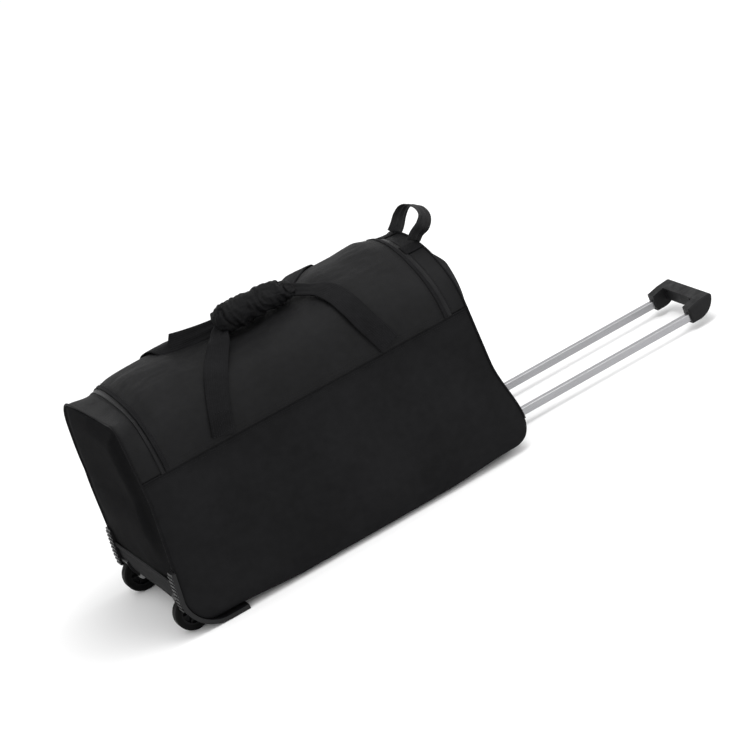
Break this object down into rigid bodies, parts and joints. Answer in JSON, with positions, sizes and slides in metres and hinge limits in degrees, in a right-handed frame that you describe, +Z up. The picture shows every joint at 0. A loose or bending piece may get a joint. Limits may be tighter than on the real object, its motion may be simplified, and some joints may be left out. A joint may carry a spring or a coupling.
{
  "type": "rolling duffel bag",
  "caption": "Soft rolling duffel with a zipped lid, carry handles, a telescopic trolley handle and inset wheels.",
  "frame": {"origin": "on the floor, under the middle of the bounding box with the trolley handle drawn out", "axes": "+X from the wheels to the trolley handle, +Y to the side away from the lid's sewn edge, +Z up"},
  "size_m": [1.2274, 0.362, 0.4902],
  "materials": {
    "side_cloth": "woven polyester, matt, coated",
    "top_cloth": "woven polyester, slight sheen",
    "base_cloth": "coarse coated weave over a stiffener",
    "wrap_cloth": "soft quilted, wrinkled",
    "webbing": "ribbed polypropylene webbing",
    "piping": "covered cord",
    "zip": "nylon coil on woven tape",
    "board": "plain sheet",
    "black_plastic": "moulded, semi-gloss",
    "grip_plastic": "fine moulded grain",
    "hub_plastic": "moulded, semi-gloss",
    "bush_plastic": "acetal",
    "wheel_rubber": "smooth rubber",
    "aluminium": "satin anodised",
    "steel": "plated"
  },
  "bodies": {
    "bag": {"near_side_panel": "side_cloth", "far_side_panel": "side_cloth", "wheel_end_panel": "side_cloth", "handle_end_panel": "side_cloth", "base_panel": "base_cloth", "wheel_end_top_strip": "top_cloth", "handle_end_top_strip": "top_cloth", "wheel_end_piping": "piping", "handle_end_piping": "piping", "base_board": "board", "zip_coil": "zip", "grab_loop_anchors": "webbing", "rear_feet": "black_plastic", "tube_bracket": "black_plastic", "tube_rivets": "steel", "exit_plate": "black_plastic", "corner_guard_near": "black_plastic", "corner_guard_far": "black_plastic", "wheel_housing_near": "black_plastic", "wheel_housing_far": "black_plastic", "axle_near": "steel", "axle_far": "steel", "outer_tube_near": "aluminium", "outer_tube_far": "aluminium", "tube_collar_near": "black_plastic", "tube_collar_far": "black_plastic"},
    "lid": {"lid_panel": "top_cloth", "lid_binding": "webbing"},
    "near_handle": {"near_handle_webbing": "webbing", "grip_wrap": "wrap_cloth"},
    "far_handle": {"far_handle_webbing": "webbing"},
    "wheel_near": {"hub_near": "hub_plastic", "tyre_near": "wheel_rubber", "wheel_bush_near": "bush_plastic"},
    "wheel_far": {"hub_far": "hub_plastic", "tyre_far": "wheel_rubber", "wheel_bush_far": "bush_plastic"},
    "trolley_handle": {"inner_tube_near": "aluminium", "inner_tube_far": "aluminium", "slide_bush_near": "bush_plastic", "slide_bush_far": "bush_plastic", "grip_back_shell": "grip_plastic", "grip_front_shell": "grip_plastic", "grip_screws": "steel", "button_spring": "steel", "pin_springs": "steel"},
    "release_button": {"push_button": "black_plastic", "release_yoke": "black_plastic", "release_rods": "steel"},
    "lock_pins": {"lock_pins": "steel"},
    "grab_loop": {"grab_loop": "webbing"},
    "slider_wheel_end": {"wheel_end_slider": "steel"},
    "slider_handle_end": {"handle_end_slider": "steel"},
    "pull_wheel_end": {"wheel_end_pull": "steel"},
    "pull_handle_end": {"handle_end_pull": "steel"}
  },
  "joints": [
    {"name": "trolley_slide", "type": "slide", "parent": "bag", "child": "trolley_handle", "axis": [1, 0, 0], "range_m": [-0.395, 0]},
    {"name": "button_press", "type": "slide", "parent": "trolley_handle", "child": "release_button", "axis": [-1, 0, 0], "range_m": [0, 0.004], "stiffness_N_per_m": 900, "deforming": ["button_spring"]},
    {"name": "lock_pins_draw", "type": "slide", "parent": "trolley_handle", "child": "lock_pins", "axis": [0, 0, 1], "range_m": [0, 0.002], "deforming": ["pin_springs"]},
    {"name": "wheel_near_spin", "type": "hinge", "parent": "bag", "child": "wheel_near", "pos_m": [-0.57975, -0.1376, 0.034], "axis": [0, 1, 0], "continuous": true},
    {"name": "wheel_far_spin", "type": "hinge", "parent": "bag", "child": "wheel_far", "pos_m": [-0.57975, 0.1376, 0.034], "axis": [0, 1, 0], "continuous": true},
    {"name": "lid_hinge", "type": "hinge", "parent": "bag", "child": "lid", "pos_m": [-0.57325, -0.165, 0.302], "axis": [1, 0, 0], "range_deg": [0, 80]},
    {"name": "near_handle_swing", "type": "hinge", "parent": "bag", "child": "near_handle", "pos_m": [-0.57325, -0.165, 0.302], "axis": [1, 0, 0], "range_deg": [0, 112]},
    {"name": "far_handle_swing", "type": "hinge", "parent": "bag", "child": "far_handle", "pos_m": [-0.57325, 0.171, 0.299], "axis": [-1, 0, 0], "range_deg": [0, 176]},
    {"name": "grab_loop_bend", "type": "hinge", "parent": "bag", "child": "grab_loop", "pos_m": [0.10475, 0, 0.434], "axis": [0, 1, 0], "range_deg": [-40, 45]},
    {"name": "zip_slide_wheel_end", "type": "slide", "parent": "bag", "child": "slider_wheel_end", "axis": [1, 0, 0], "range_m": [-0.11, 0]},
    {"name": "pull_swing_wheel_end", "type": "hinge", "parent": "slider_wheel_end", "child": "pull_wheel_end", "pos_m": [-0.24325, 0.1726, 0.297], "axis": [1, 0, 0], "range_deg": [0, 150]},
    {"name": "zip_slide_handle_end", "type": "slide", "parent": "bag", "child": "slider_handle_end", "axis": [1, 0, 0], "range_m": [0, 0.11]},
    {"name": "pull_swing_handle_end", "type": "hinge", "parent": "slider_handle_end", "child": "pull_handle_end", "pos_m": [-0.22325, 0.1726, 0.297], "axis": [1, 0, 0], "range_deg": [0, 150]}
  ],
  "couplings": [
    {"joint": "lock_pins_draw", "follows": "button_press", "ratio": 0.5},
    {"joint": "near_handle_swing", "follows": "lid_hinge", "ratio": 1.4},
    {"joint": "far_handle_swing", "follows": "lid_hinge", "ratio": 2.2}
  ]
}
